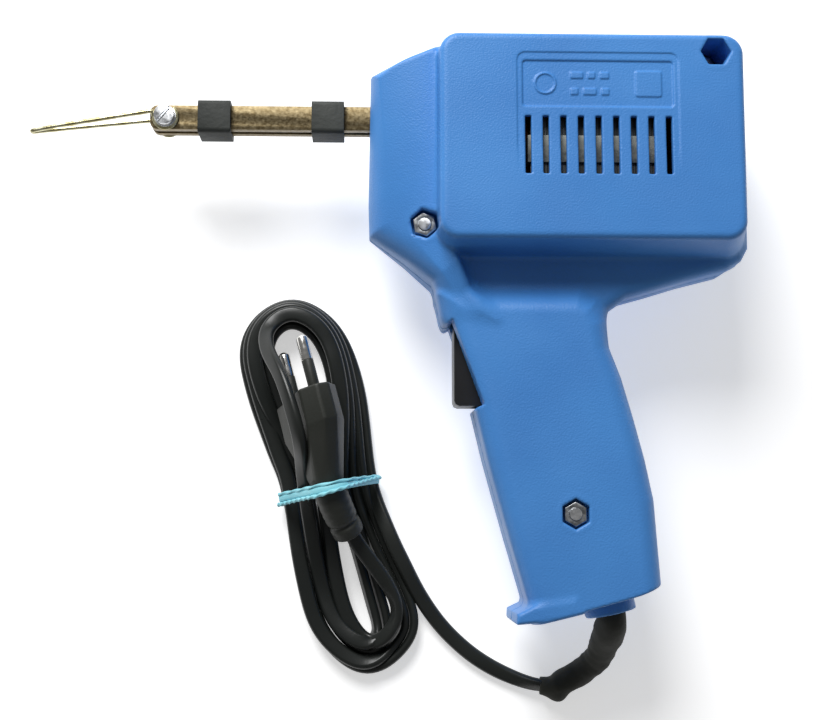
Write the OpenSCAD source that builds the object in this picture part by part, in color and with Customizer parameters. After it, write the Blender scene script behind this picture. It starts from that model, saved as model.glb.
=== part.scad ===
// Pistol-type transformer soldering gun, lying on its side.
// +X runs from the soldering tip to the back of the housing, +Y from the grip up to
// the housing, +Z across the thickness. Z = 0 is the surface that it lies on.

/* [Housing] */
// Thickness of the housing round the transformer
body_t = 60; // [60:0.5:62]
// Thickness of the nose
nose_t = 44; // [42:0.5:46]
// Thickness of the grip
grip_t = 35; // [34:0.5:37]
// Thickness of the low skirt under the housing
skirt_t = 24; // [22:0.5:26]
// Wall thickness of both shells
wall = 2.5; // [2:0.1:2.6]

/* [Vents] */
// Number of cooling slots in each shell
vent_count = 9; // [5:1:9]
// Width of a cooling slot
vent_w = 2; // [1.5:0.1:2.4]
// Length of a cooling slot
vent_l = 19; // [14:0.5:20]

/* [Fasteners] */
// Radius of the case bolts
bolt_r = 2; // [1.8:0.05:2.05]
// Width across flats of the nuts
nut_af = 7; // [6.5:0.1:7.2]
// Width across flats of the nut pockets
pocket_af = 8.6; // [7.8:0.1:8.8]

/* [Secondary bars] */
// Height of the copper bars
bar_h = 8.2; // [7.8:0.1:8.4]
// Thickness of the copper bars
bar_t = 3; // [2.6:0.1:3]
// Gap between the two bars
bar_gap = 2.4; // [2.2:0.1:2.6]
// Length of a rubber sleeve on the bars
sleeve_l = 10.9; // [8:0.1:12]

/* [Tip] */
// Diameter of the tip wire
wire_d = 1.4; // [1:0.1:1.6]
// Diameter of the clamp screws' heads
screw_head_d = 6.8; // [6:0.1:7.2]

/* [Trigger and switch] */
// Thickness of the trigger
trigger_t = 13; // [11:0.1:13]
// Radius of the trigger's hinge pin
pin_r = 1.5; // [1.3:0.05:1.5]
// Turns of the switch's return spring
spring_turns = 6; // [4:1:7]

/* [Transformer] */
// Length of the lamination stack
stack_l = 40; // [36:0.5:40]
// Width of the core's centre leg
leg_w = 18; // [16:0.5:18]

/* [Cord] */
// Radius of the plain tube that stands for the flat cord
cord_r = 2.2; // [1.8:0.1:2.3]
// Outer radius of the bend sleeve
bend_r = 4.6; // [3.8:0.1:4.6]
// Height of the cord's hank
hank_h = 11.6; // [10:0.1:13]
// Radius of the plug's pins
plug_pin_r = 2; // [1.9:0.05:2]

/* [Hidden] */
$fn = 32;

// Parting plane of the two shells
mid = body_t / 2;
// Gap left round a piece that only has to drop into its seat
slip = 0.1;

// Low skirt and neck under the housing, and the lip at the grip's front lower corner
skirt_outline = [
  [19, 40], [19, 9], [26, 2], [72.4, 2], [74.5, 6.5], [79.3, 10.6], [88.8, 13.2], [99.9, 16.6],
  [113.4, 20.1], [118.5, 23.5], [120.6, 27], [120.6, 40]
];
lip_outline = [[50, -86], [45.5, -88.2], [41.1, -90.6], [41.7, -94.6], [47, -94.8], [58, -90]];
// Outline of the nose's flat side
nose_outline = [
  [-6.2, 43], [-5.6, 84], [-2.4, 85.2], [9.9, 89.7], [21, 94.4], [40, 94.4],
  [40, 34], [27, 14], [15, 15.5], [6.1, 22.9], [-2.2, 29.5], [-5.9, 31.6]
];
// Outline of the grip, up to where it meets the nose
grip_outline = [
  [16.2, 13], [19.9, 1.2], [28.8, -27], [45.1, -87.9], [48.6, -94.9], [66.6, -90.8],
  [83.2, -86], [88.6, -82.8], [87.6, -69.1], [84, -42.9], [76.8, -16.3], [72.1, 0.4],
  [72.1, 20]
];
// Housing's flat side: lowest and highest x, lowest and highest y
face_x = [20, 112.4];
face_y = [27.8, 92.4];
// The same at the edge of the flat side's fillet, and at the parting plane
edge_x = [16.5, 115.4];
edge_y = [26.3, 94.3];
mid_x = [14, 121];
mid_y = [22, 95];
fillet = 2.4;
corner_r = 6.5;

// Axes of the case bolts in the grip, the nose and the top of the housing, the floors of
// their nut pockets, and the turn of each hexagon
bolt_at = [[60.5, -60.7], [12.2, 33.5], [106.2, 88.3]];
nut_floor = [43.5, 43.5, 41];
nut_turn = [30, 40, 0];
// Radius of the posts that the bolts stand in, and the cover left over their tops
post_r = 5.8;
post_cover = 2.2;
// Bolt: length, radius and height of its head, how far its end stands out of the nut
bolt_l = 30;
head_r = 3.7;
head_l = 3;
bolt_over = 0.5;
nut_l = 3.2;
// Driver slots: width and depth
slot_w = 1;
slot_l = 1.2;

// First and last cooling slot, the shallow panel that they lie in, the deeper field
// above them, and the depths of both
vent_x = [44.9, 90.4];
vent_y = 57;
panel_x = [41.4, 93.7];
panel_y = [44.5, 87.5];
panel_l = 0.25;
label_x = [43.2, 92];
label_y = [69.7, 84.8];
label_l = 0.8;

// Ribs behind the core and behind the switch: lower edges and width
core_rib_y = [39.5, 80];
core_rib_w = 6;
switch_rib_y = [-28, -12];
switch_rib_w = 2;

// Secondary bars
bar_y = 72.5;
bar_end_x = -80;
clamp_x = -74.8;
// Rubber sleeves: where each starts, their walls under and over the bars, half width, fillet
sleeve_x = [-63.7, -25.5];
sleeve_below = 1.6;
sleeve_above = 1.4;
sleeve_half_z = 7;
sleeve_round = 1.6;
clamp_hole_r = 1.8;
loop_half = 11;
loop_x = 88.5;
// Blocks that the nose holds the bars with
guide_x = [3, 13];
guide_y = [64, 80];
// Outer face of a bar, from the parting plane
bar_face = bar_gap / 2 + bar_t;
// Eyelets of the tip under its washers, and its bend
eyelet_r = 4.3;
eyelet_t = 0.8;
washer_r = 3.7;
washer_t = 0.8;
clamp_head_l = 2.4;
tip_y = 68.4;
tip_end_x = -121;

// Core: window in y, width of its outer legs, place along x
window_y = [47, 78];
yoke_w = 9;
outer_leg_w = 7;
window_w = 9.5;
stack_x = 46;
core_half = leg_w / 2 + window_w + outer_leg_w;
bobbin_wall = 1;
// Gap between the winding and the core's outer legs
winding_gap = 1.4;
winding_y = [49, 67];

// Trigger: hinge, radius of its barrel, the lug that pushes the switch, the slot that it
// swings in and the gap beside it
pivot = [27, 6];
barrel_r = 4;
pin_half = 12;
pin_boss_r = 3.6;
lug = [32.3, -19];
lug_r = 2.5;
trigger_outline = [
  [22.3, 0.9], [22.3, -23.5], [22.8, -24.7], [24, -25.2], [33, -25.2], [33, -2],
  [31, 6], [27, 7], [23.1, 5.2]
];
trigger_slot = [[21.7, 8], [21.7, 1.6], [15, 1], [15, -26], [38, -26], [38, 8]];
trigger_gap = 0.3;

// Switch: axis of its plunger, its box, and its contacts
switch_y = -19;
switch_x = [42, 62];
switch_half_y = 12;
switch_half_z = 10;
switch_wall = 1.5;
stem_half = 2.5;
button_half_y = 5;
button_half_z = 4;
button_l = 2;
plunger_x = lug[0] + lug_r + 0.3;
contact_x = 46;
contact_half_y = 9.5;
contact_half_z = 2;
contact_t = 1;
fixed_x = 51.7;
rivet_r = 1.4;
rivet_y = 6.3;
terminal_y = 8;
terminal_x = 66;
spring_r = 2.4;
spring_wire_r = 0.3;

// Cord outlet: middle of its mouth in the grip, its turn about Z, and its collar
outlet = [72.8, -86.9];
outlet_turn = 12.5;
collar_r = 8.5;
collar_l = [-3, 6.3];
outlet_cut = [-14, 12];

// Clamp over the cord's two cores
core_r = 1.5;
clamp_box_x = [61.7, 80.2];
clamp_y = -74;
clamp_half = 2.5;
clamp_t = 2.5;
clamp_screw_head_l = 1.7;
// Cord's two cores inside the grip: half their pitch, their start and length
core_pitch = 1.3;
inner_end_at = 4.6;
inner_end_l = 15;
clamp_screw_x = [63.7, 78.2];
clamp_screw_r = 1.15;
clamp_screw_head_r = 2.6;

// Route of the cord from its outlet to the hank, and of the sleeve round its start
bend_route = [
  [71.9, -82.5, 30], [73.5, -90, 30], [74.4, -94.3, 29.9], [74.4, -98.8, 26.2],
  [73.8, -103.6, 19.4], [72.9, -108.2, 14], [70.8, -111.6, 10.4], [67.4, -114.6, 7.8],
  [63, -117.4, 6.1], [58.5, -119.6, 5.1], [53.5, -119.6, 4.8]
];
free_route = [
  [53.5, -119.6, 4.8], [48.4, -118.5, 3.3], [42.8, -116.4, 2.5], [36.9, -113.6, 2.3],
  [30.3, -109.4, 2.3], [24.6, -104.6, 2.3], [19.5, -99.4, 2.5], [14.7, -93, 3.4],
  [10.5, -86.2, 5.2], [6.7, -78.6, 7.4]
];

// Hank: lobes as [x, y, outer radius, inner radius], from the top one to the bottom one
lobes = [[-30.8, -5.2, 20.8, 9], [-20.3, -46, 17.3, 8.6], [-9.4, -94.6, 21, 5]];
// Plug: middle of its face, its turn about Z and its lean from upright
plug_at = [-27.6, -20.8, 20];
plug_turn = 15;
plug_lean = 25;
plug_dip = -7.5;
plug_pin_gap = 18.6;
// Plug: width and thickness of its face, length of its body, pins and their sleeves
plug_face_w = 33;
plug_face_t = 13.7;
plug_l = 31;
// Length of its full-size front, and the chamfers along its corners
plug_front_l = 12;
plug_chamfer = 4.8;
// Route of the plug's neck, and its radius
neck_route = [[-20.6, -48, 23.8], [-18.2, -54.5, 23.4], [-15.2, -61.5, 20.4], [-12.1, -67.6, 16.4]];
neck_r = 5.6;
pin_l = 19;
pin_sleeve_l = 10;
pin_root = 8;
pin_core_r = 1.5;
// Rubber band: middle, turn about Z, width and thickness
band_at = [-19.6, -52.4];
band_turn = 11;
band_w = 6;
band_t = 0.8;
// The rounds that the band runs over, in its own plane: across, up, radius
band_rounds = [[-12, 5.9, 5.9], [12, 5.9, 5.9], [0.7, 23.4, 8]];

// ---- helpers ----

function unit(v) = v / norm(v);

// Corner arcs of a rectangle with round corners
function round_rect(x, y, r, n = 6) = [
  for (c = [0 : 3]) for (k = [0 : n])
    let (a = 90 * c + 90 * k / n,
         cx = (c == 0 || c == 3) ? x[1] - r : x[0] + r,
         cy = (c < 2) ? y[1] - r : y[0] + r)
    [cx + r * cos(a), cy + r * sin(a)]
];

function shrink(range, by) = [range[0] + by, range[1] - by];

// Point on a smooth curve through the points p, after p[i] by the share t of a step
function on_curve(p, i, t) =
  let (n = len(p) - 1, a = p[max(i - 1, 0)], b = p[i], c = p[min(i + 1, n)],
       d = p[min(i + 2, n)])
  0.5 * (2 * b + (c - a) * t + (2 * a - 5 * b + 4 * c - d) * t * t
         + (3 * b - a - 3 * c + d) * t * t * t);

function smooth_route(p, steps) = concat(
  [for (i = [0 : len(p) - 2]) for (k = [0 : steps - 1]) on_curve(p, i, k / steps)],
  [p[len(p) - 1]]);

// Rings of points round a route; ref is any direction that the route never takes
function rings(route, r, sides, ref) = [
  for (i = [0 : len(route) - 1])
    let (t = unit(route[min(i + 1, len(route) - 1)] - route[max(i - 1, 0)]),
         across = unit(cross(t, ref)), up = cross(across, t))
    for (k = [0 : sides - 1])
      route[i] + r * (cos(360 * k / sides) * across + sin(360 * k / sides) * up)
];

function skin(n, sides, start = 0) = [
  for (i = [0 : n - 2]) for (k = [0 : sides - 1])
    let (a = start + i * sides + k, b = start + i * sides + (k + 1) % sides)
    [a, b, b + sides, a + sides]
];

function reversed(list) = [for (i = [len(list) - 1 : -1 : 0]) list[i]];

// Points mirrored in their first axis, in the opposite order
function flipped(list) = [for (p = reversed(list)) [p[0], -p[1]]];

// Solid tube along a route
module rod(route, r, sides, ref = [0, 0, 1]) {
  n = len(route);
  polyhedron(
    rings(route, r, sides, ref),
    concat(
      skin(n, sides),
      [reversed([for (k = [0 : sides - 1]) k])],
      [[for (k = [0 : sides - 1]) (n - 1) * sides + k]]));
}

// Hollow tube along a route
module pipe(route, outer, inner, sides) {
  n = len(route);
  count = n * sides;
  polyhedron(
    concat(rings(route, outer, sides, [0, 0, 1]), rings(route, inner, sides, [0, 0, 1])),
    concat(
      skin(n, sides),
      [for (f = skin(n, sides, count)) reversed(f)],
      [for (k = [0 : sides - 1]) [k, count + k, count + (k + 1) % sides, (k + 1) % sides]],
      [for (k = [0 : sides - 1]) let (a = (n - 1) * sides)
        [a + k, a + (k + 1) % sides, count + a + (k + 1) % sides, count + a + k]]));
}

// Slab of half thickness half, centred on the parting plane
module slab(half) {
  translate([0, 0, mid - half]) linear_extrude(2 * half) children();
}

// Prism with a profile in the YZ plane, from x0 over length l
module along_x(x0, l) {
  translate([x0, 0, 0]) rotate([90, 0, 90]) linear_extrude(l) children();
}

// Prism with a profile in the XZ plane, from y0 over length l
module along_y(y0, l) {
  translate([0, y0 + l, 0]) rotate([90, 0, 0]) linear_extrude(l) children();
}

module box(x, y, z) {
  translate([x[0], y[0], z[0]]) cube([x[1] - x[0], y[1] - y[0], z[1] - z[0]]);
}

module post(at, r, z) {
  translate([at[0], at[1], z[0]]) cylinder(r = r, h = z[1] - z[0]);
}

module hexagon(at, af, turn, z) {
  translate([at[0], at[1], z[0]]) rotate(turn)
    cylinder(r = af / 2 / cos(30), h = z[1] - z[0], $fn = 6);
}

// Keeps the side of the parting plane that a shell lies on: +1 near, -1 far
module half_space(side) {
  far_z = side > 0 ? mid : -5;
  translate([-50, -150, far_z]) cube([250, 300, mid + 5]);
}

// Mirrors a piece that is drawn for the near side to the far side
module on_side(side) {
  if (side > 0) children();
  else translate([0, 0, 2 * mid]) mirror([0, 0, 1]) children();
}

// ---- housing ----

// Full thickness block round the transformer, shrunk by inset on every side
module housing_form(inset) {
  hull() {
    slab(body_t / 2 - inset)
      polygon(round_rect(shrink(face_x, inset), shrink(face_y, inset), corner_r - fillet));
    slab(body_t / 2 - fillet - inset)
      polygon(round_rect(shrink(edge_x, inset), shrink(edge_y, inset), corner_r - inset));
    slab(2) polygon(round_rect(shrink(mid_x, inset), shrink(mid_y, inset), corner_r - inset));
  }
}

module nose_form(inset) {
  chamfer = 3;
  hull() {
    slab(nose_t / 2 - inset) offset(delta = -chamfer - inset) polygon(nose_outline);
    slab(nose_t / 2 - chamfer - inset) offset(delta = -inset) polygon(nose_outline);
  }
}

module grip_form(inset) {
  chamfer = 6;
  hull() {
    slab(grip_t / 2 - inset) offset(delta = -chamfer - inset) polygon(grip_outline);
    slab(grip_t / 2 - chamfer - inset) offset(delta = -inset) polygon(grip_outline);
  }
}

module skirt_form(inset) {
  slab(skirt_t / 2 - inset) offset(delta = -inset) polygon(skirt_outline);
}

// Space in front of the grip's edge beside the trigger
module trigger_recess(inset) {
  slab(body_t) polygon([
    [5, 0], [19.9 + inset, 1.2], [21.5 + inset, 2.3], [31.5 + inset, -25.4 - inset],
    [28.8, -26.4 - inset], [5, -27 - inset]]);
}

module outer_form() {
  difference() {
    union() {
      housing_form(0);
      nose_form(0);
      grip_form(0);
      skirt_form(0);
      slab(grip_t / 2 - 0.5) polygon(lip_outline);
    }
    trigger_recess(0);
  }
}

module cavity() {
  difference() {
    union() {
      housing_form(wall);
      nose_form(wall);
      grip_form(wall);
      skirt_form(wall);
    }
    trigger_recess(wall);
  }
}

// Round collar that the cord's sleeve leaves through
module outlet_shape(r, from, to) {
  translate([outlet[0], outlet[1], mid]) rotate(outlet_turn) rotate([90, 0, 0])
    translate([0, 0, from]) cylinder(r = r, h = to - from);
}

// Posts, seats and guides inside a shell, drawn for the near side
module seats() {
  for (i = [0 : 2])
    post(bolt_at[i], post_r, [mid, mid + [grip_t, nose_t, body_t][i] / 2 - post_cover]);
  post(pivot, pin_boss_r, [mid + trigger_t / 2 + 2 * trigger_gap, mid + grip_t / 2 - 1]);
  box(guide_x, guide_y, [mid + bar_face + slip, mid + nose_t / 2 - 1]);
  for (y = core_rib_y)
    box(shrink([stack_x, stack_x + stack_l], 4), [y, y + core_rib_w],
        [mid + core_half + slip, mid + body_t / 2 - 1]);
  for (y = switch_rib_y)
    box(shrink(switch_x, 2), [y, y + switch_rib_w],
        [mid + switch_half_z + slip, mid + grip_t / 2 - 1]);
}

// Everything that is cut out of a shell, drawn for the near side
module openings() {
  for (i = [0 : vent_count - 1]) {
    x = vent_x[0] + i * (vent_x[1] - vent_x[0]) / (vent_count - 1);
    box([x - vent_w / 2, x + vent_w / 2], [vent_y - vent_l / 2, vent_y + vent_l / 2],
        [body_t - 2 * wall, body_t + 1]);
  }
  box(panel_x, panel_y, [body_t - panel_l, body_t + 1]);
  box(label_x, label_y, [body_t - label_l, body_t + 1]);
  // Mouth in the nose that the bars leave through
  box([-9, 0], [bar_y - bar_h / 2 - slip, bar_y + bar_h / 2 + slip],
      [mid - 1, mid + bar_face + slip]);
  for (at = bolt_at) post(at, bolt_r + 2 * slip, [mid - 1, mid + body_t]);
  slab(trigger_t / 2 + trigger_gap) polygon(trigger_slot);
  post(pivot, pin_r, [mid - 1, mid + pin_half + slip]);
  outlet_shape(bend_r + slip, outlet_cut[0], outlet_cut[1]);
}

module shell(side) {
  on_side(side) intersection() {
    half_space(1);
    difference() {
      union() {
        difference() {
          outer_form();
          cavity();
        }
        seats();
        outlet_shape(collar_r, collar_l[0], collar_l[1]);
      }
      openings();
    }
  }
}

module shell_near() {
  color("#4078c4") difference() {
    shell(1);
    for (i = [0 : 2])
      hexagon(bolt_at[i], pocket_af, nut_turn[i], [nut_floor[i], body_t + 1]);
  }
}

// Height of the underside of the i-th bolt's head
function head_z(i) = nut_floor[i] + nut_l + bolt_over - bolt_l;

// Slot across a screw's head, from z up
module driver_slot(at, turn, z) {
  translate([at[0], at[1], z + slot_l / 2]) rotate(turn) cube([10, slot_w, slot_l], center = true);
}

module shell_far() {
  color("#4078c4") difference() {
    union() {
      shell(-1);
      // Seat under the cord's clamp
      box(clamp_box_x, [clamp_y - clamp_half, clamp_y + clamp_half],
          [mid - grip_t / 2 + 1, mid - core_r]);
    }
    for (i = [0 : 2]) post(bolt_at[i], head_r + 0.5, [-1, head_z(i)]);
    for (x = clamp_screw_x) post([x, clamp_y], clamp_screw_r, [mid - 10, mid]);
  }
}

module case_bolts() {
  color("#b9bec4") for (i = [0 : 2]) difference() {
    union() {
      post(bolt_at[i], bolt_r, [head_z(i), head_z(i) + bolt_l]);
      post(bolt_at[i], head_r, [head_z(i) - head_l, head_z(i)]);
    }
    driver_slot(bolt_at[i], 30 * i, head_z(i) - head_l - 0.01);
  }
}

module case_nuts() {
  color("#b9bec4") for (i = [0 : 2]) difference() {
    hexagon(bolt_at[i], nut_af, nut_turn[i], [nut_floor[i], nut_floor[i] + nut_l]);
    post(bolt_at[i], bolt_r + 0.05, [nut_floor[i] - 1, nut_floor[i] + nut_l + 1]);
  }
}

// ---- secondary circuit and tip ----

module secondary_loop() {
  in_z = bar_gap / 2;
  out_z = in_z + bar_t;
  spread = loop_half + bar_t;
  joggle = 0.3 * bar_t;
  inner = [
    [bar_end_x, in_z], [24 + joggle, in_z], [40 + joggle, loop_half], [loop_x, loop_half]];
  outer = [[loop_x + bar_t, spread], [40, spread], [24, out_z], [bar_end_x, out_z]];
  color("#8a7350") difference() {
    intersection() {
      along_y(bar_y - bar_h / 2, bar_h) translate([0, mid]) polygon(concat(
        inner, flipped(inner), flipped(outer), outer));
      slab(body_t) polygon(round_rect(
        [bar_end_x, loop_x + bar_t], [bar_y - bar_h / 2, bar_y + bar_h / 2], 2.5));
    }
    post([clamp_x, bar_y], clamp_hole_r, [mid - 10, mid + 10]);
  }
}

module bar_sleeve(x0) {
  half = bar_h / 2;
  color("#3a3c3c") along_x(x0, sleeve_l) difference() {
    polygon(round_rect([bar_y - half - sleeve_below, bar_y + half + sleeve_above],
                       [mid - sleeve_half_z, mid + sleeve_half_z], sleeve_round));
    polygon(round_rect([bar_y - half, bar_y + half], [mid - bar_face, mid + bar_face], 0.2));
  }
}

module bar_sleeve_front() {
  bar_sleeve(sleeve_x[0]);
}

module bar_sleeve_rear() {
  bar_sleeve(sleeve_x[1]);
}

// Insulating strip that keeps the bars apart where the nose holds them
module bar_spacer() {
  color("#6b4a2c") box(shrink(guide_x, -1), [bar_y - 6.5, bar_y + 6.5],
                       [mid - bar_gap / 2, mid + bar_gap / 2]);
}

module clamp_screws() {
  top = mid + bar_face + eyelet_t + washer_t;
  color("#c6cace") for (side = [1, -1]) on_side(side) difference() {
    union() {
      post([clamp_x, bar_y], screw_head_d / 2, [top, top + clamp_head_l]);
      post([clamp_x, bar_y], clamp_hole_r - 0.05, [mid + bar_gap / 2 + slip, top]);
    }
    driver_slot([clamp_x, bar_y], 50, top + clamp_head_l - slot_l + 0.01);
  }
}

module clamp_washers() {
  low = mid + bar_face + eyelet_t;
  color("#b4b39a") for (side = [1, -1]) on_side(side) difference() {
    post([clamp_x, bar_y], washer_r, [low, low + washer_t]);
    post([clamp_x, bar_y], clamp_hole_r + 0.05, [low - 1, low + 2]);
  }
}

// Hairpin of wire with flattened eyelets under the clamp screws
module soldering_tip() {
  tip_bend_r = 0.9;
  bend_x = tip_end_x + tip_bend_r + wire_d / 2;
  start = [clamp_x - 4, bar_y + 2.1, bar_face + eyelet_t + 0.3];
  leg = [bend_x, tip_y, tip_bend_r] - start;
  color("#b8b48a") {
    for (side = [1, -1]) on_side(side) {
      difference() {
        post([clamp_x, bar_y], eyelet_r, [mid + bar_face, mid + bar_face + eyelet_t]);
        post([clamp_x, bar_y], clamp_hole_r + 0.1, [mid, mid + 10]);
      }
      translate(start + [0, 0, mid])
        rotate([0, acos(leg[2] / norm(leg)), atan2(leg[1], leg[0])])
          cylinder(d = wire_d, h = norm(leg), $fn = 16);
    }
    translate([bend_x, tip_y, mid]) rotate([90, 0, 0])
      rotate_extrude(angle = 360, $fn = 24) translate([tip_bend_r, 0]) circle(d = wire_d, $fn = 16);
  }
}

// ---- transformer ----

module core_e_stack() {
  y0 = window_y[0] - yoke_w;
  color("#8f9296") along_x(stack_x, stack_l) difference() {
    translate([y0, mid - core_half]) square([window_y[1] - y0, 2 * core_half]);
    for (s = [1, -1]) translate([window_y[0], mid + s * (leg_w + window_w) / 2 - window_w / 2])
      square([window_y[1], window_w]);
  }
}

module core_i_stack() {
  color("#8f9296") box([stack_x, stack_x + stack_l], [window_y[1], window_y[1] + yoke_w],
                       [mid - core_half, mid + core_half]);
}

// Folded steel clips over both outer legs
module core_straps() {
  strap_t = 1;
  color("#a9ae9e") for (side = [1, -1]) on_side(side)
    along_y(52, 9) translate([0, mid]) difference() {
      translate([stack_x - strap_t, core_half - outer_leg_w + 0.5])
        square([stack_l + 2 * strap_t, outer_leg_w - 0.5 + strap_t]);
      translate([stack_x, 0]) square([stack_l, core_half]);
    }
}

module coil_bobbin() {
  half_leg = leg_w / 2 + 0.2;
  hole_x = [stack_x - 0.2, stack_x + stack_l + 0.2];
  flange_x = [stack_x - 9.5, stack_x + stack_l + 9.5];
  flange_half = leg_w / 2 + window_w - 0.3;
  color("#2f3a34") difference() {
    union() {
      box(shrink(hole_x, -bobbin_wall), [window_y[0] + 0.3, window_y[1] - 0.3],
          [mid - half_leg - bobbin_wall, mid + half_leg + bobbin_wall]);
      for (y = [winding_y[0] - 1.2, winding_y[1]])
        box(flange_x, [y, y + 1.2], [mid - flange_half, mid + flange_half]);
    }
    box(hole_x, [window_y[0] - 1, window_y[1] + 1], [mid - half_leg, mid + half_leg]);
  }
}

module primary_winding() {
  inner = leg_w / 2 + 0.2 + bobbin_wall;
  outer = leg_w / 2 + window_w - winding_gap;
  build = outer - inner;
  inner_x = [stack_x - 0.2 - bobbin_wall, stack_x + stack_l + 0.2 + bobbin_wall];
  color("#7c3b1e") along_y(winding_y[0], winding_y[1] - winding_y[0]) difference() {
    polygon(round_rect(shrink(inner_x, -build), [mid - outer, mid + outer], 5));
    translate([inner_x[0], mid - inner]) square([inner_x[1] - inner_x[0], 2 * inner]);
  }
}

// ---- trigger and switch ----

module trigger() {
  color("#1c1d1f") difference() {
    slab(trigger_t / 2) union() {
      polygon(trigger_outline);
      translate(pivot) circle(r = barrel_r);
      translate(lug) circle(r = lug_r);
    }
    post(pivot, pin_r + 0.05, [mid - trigger_t, mid + trigger_t]);
  }
}

module trigger_pin() {
  color("#b9bec4") post(pivot, pin_r, [mid - pin_half, mid + pin_half]);
}

module switch_body() {
  y = [switch_y - switch_half_y, switch_y + switch_half_y];
  z = [mid - switch_half_z, mid + switch_half_z - switch_wall];
  stem = stem_half + 0.15;
  color("#3a2a20") difference() {
    box(switch_x, y, z);
    box(shrink(switch_x, switch_wall), shrink(y, switch_wall), [z[0] + switch_wall, z[1] + 1]);
    box([switch_x[0] - 1, switch_x[0] + 3], [switch_y - stem, switch_y + stem],
        [mid - stem, mid + stem]);
    for (s = [1, -1]) box([switch_x[1] - 3, switch_x[1] + 1],
                          [switch_y + s * terminal_y - 0.6, switch_y + s * terminal_y + 0.6],
                          [mid - contact_half_z - slip, mid + contact_half_z + slip]);
  }
}

module switch_cover() {
  color("#4a372a") box(switch_x, [switch_y - switch_half_y, switch_y + switch_half_y],
                       [mid + switch_half_z - switch_wall, mid + switch_half_z]);
}

module switch_plunger() {
  color("#d9d4c5") {
    box([plunger_x, plunger_x + button_l], [switch_y - button_half_y, switch_y + button_half_y],
        [mid - button_half_z, mid + button_half_z]);
    box([plunger_x + button_l, contact_x], [switch_y - stem_half, switch_y + stem_half],
        [mid - stem_half, mid + stem_half]);
  }
}

module moving_contact() {
  color("#b08d4a") box(
    [contact_x, contact_x + contact_t], [switch_y - contact_half_y, switch_y + contact_half_y],
    [mid - contact_half_z, mid + contact_half_z]);
}

module switch_spring() {
  from = contact_x + contact_t + spring_wire_r + 0.05;
  to = switch_x[1] - switch_wall - spring_wire_r - 0.05;
  steps = 12;
  total = spring_turns * steps;
  color("#9aa0a6") rod(
    [for (i = [0 : total]) [
      from + (to - from) * i / total,
      switch_y + spring_r * cos(360 * i / steps),
      mid + spring_r * sin(360 * i / steps)]],
    spring_wire_r, 6, [1, 0, 0]);
}

module fixed_contacts() {
  z = [mid - contact_half_z, mid + contact_half_z];
  color("#b08d4a") for (s = [1, -1]) {
    translate([fixed_x, switch_y + s * rivet_y, mid]) rotate([0, 90, 0]) cylinder(r = rivet_r, h = 1);
    box([fixed_x + 1, fixed_x + 2], [switch_y + s * 6.5 - 2, switch_y + s * 6.5 + 2], z);
    box([fixed_x + 2, terminal_x],
        [switch_y + s * terminal_y - 0.5, switch_y + s * terminal_y + 0.5], z);
  }
}

// ---- wiring and cord clamp ----

// Cord to the switch, cord to the winding, switch to the winding
lead_r = 1;
lead_routes = [
  [[67.3, -67.6, 30], [68.9, -58, 30.6], [68.6, -49, 32], [67.5, -40, 32], [65.3, -32, 30.5], [65, -27.5, 30]],
  [[69.8, -67.1, 30], [72.6, -57.5, 29.2], [75, -47, 28], [74, -25, 28], [69.3, -5, 29], [70, 15, 30],
   [84, 30, 30], [91, 38, 30], [91, 47.8, 30]],
  [[65, -10.5, 30], [65, -5, 31], [58, 8, 33], [45, 22, 32], [41, 35, 30], [41, 47.8, 30]]
];

module lead_wires() {
  color("#23252a") for (route = lead_routes) rod(smooth_route(route, 3), lead_r, 8);
}

module cord_clamp() {
  color("#23252a") difference() {
    box(clamp_box_x, [clamp_y - clamp_half, clamp_y + clamp_half],
        [mid + core_r, mid + core_r + clamp_t]);
    for (x = clamp_screw_x) post([x, clamp_y], clamp_screw_r + 0.3, [mid, mid + 10]);
  }
}

module cord_clamp_screws() {
  top = mid + core_r + clamp_t;
  color("#b9bec4") for (x = clamp_screw_x) {
    post([x, clamp_y], clamp_screw_r, [mid - 9, top]);
    post([x, clamp_y], clamp_screw_head_r, [top, top + clamp_screw_head_l]);
  }
}

// Flat end of the cord inside the grip, between the clamp and its seat
module cord_inner_end() {
  color("#1c1e1d") translate([outlet[0], outlet[1], mid]) rotate(outlet_turn)
    for (s = [1, -1]) translate([s * core_pitch, inner_end_at, 0]) rotate([-90, 0, 0])
      cylinder(r = core_r, h = inner_end_l);
}

// ---- free cord and plug ----

module bend_sleeve() {
  color("#202223") pipe(smooth_route(bend_route, 3), bend_r, cord_r + 0.6, 12);
}

module cord_lead() {
  color("#1c1e1d")
    rod(concat(smooth_route(bend_route, 3),
               [for (p = smooth_route(free_route, 3)) if (p[0] < free_route[0][0]) p]),
        cord_r, 8);
}

module hank_outline(ring) {
  for (i = [0, 1]) hull() for (k = [i, i + 1])
    translate([lobes[k][0], lobes[k][1]]) circle(r = lobes[k][2 + ring]);
}

module cord_hank() {
  color("#1c1e1d") difference() {
    linear_extrude(hank_h) difference() {
      hank_outline(0);
      hank_outline(1);
    }
    difference() {
      band_form(band_w + 0.2, 0.02);
      band_form(band_w + 1, -band_t - 0.02);
    }
  }
}

module in_plug() {
  translate(plug_at) rotate([0, 0, plug_turn]) rotate([plug_dip, 0, 0])
    rotate([0, plug_lean, 0]) children();
}

module plug_body() {
  color("#1b1c1c") difference() {
    union() {
      in_plug() hull() {
        for (cut = [[0, plug_chamfer], [plug_chamfer, 0]])
          translate([0, -plug_front_l / 2, 0])
            cube([plug_face_t - 2 * cut[0], plug_front_l, plug_face_w - 2 * cut[1]],
                 center = true);
        translate([0, -plug_l, 0]) rotate([90, 0, 0]) cylinder(r = neck_r, h = 1);
      }
      rod(smooth_route(neck_route, 3), neck_r, 16);
    }
    on_pins() translate([0, 0, -pin_root]) cylinder(r = pin_core_r, h = pin_root + 1);
  }
}

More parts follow.
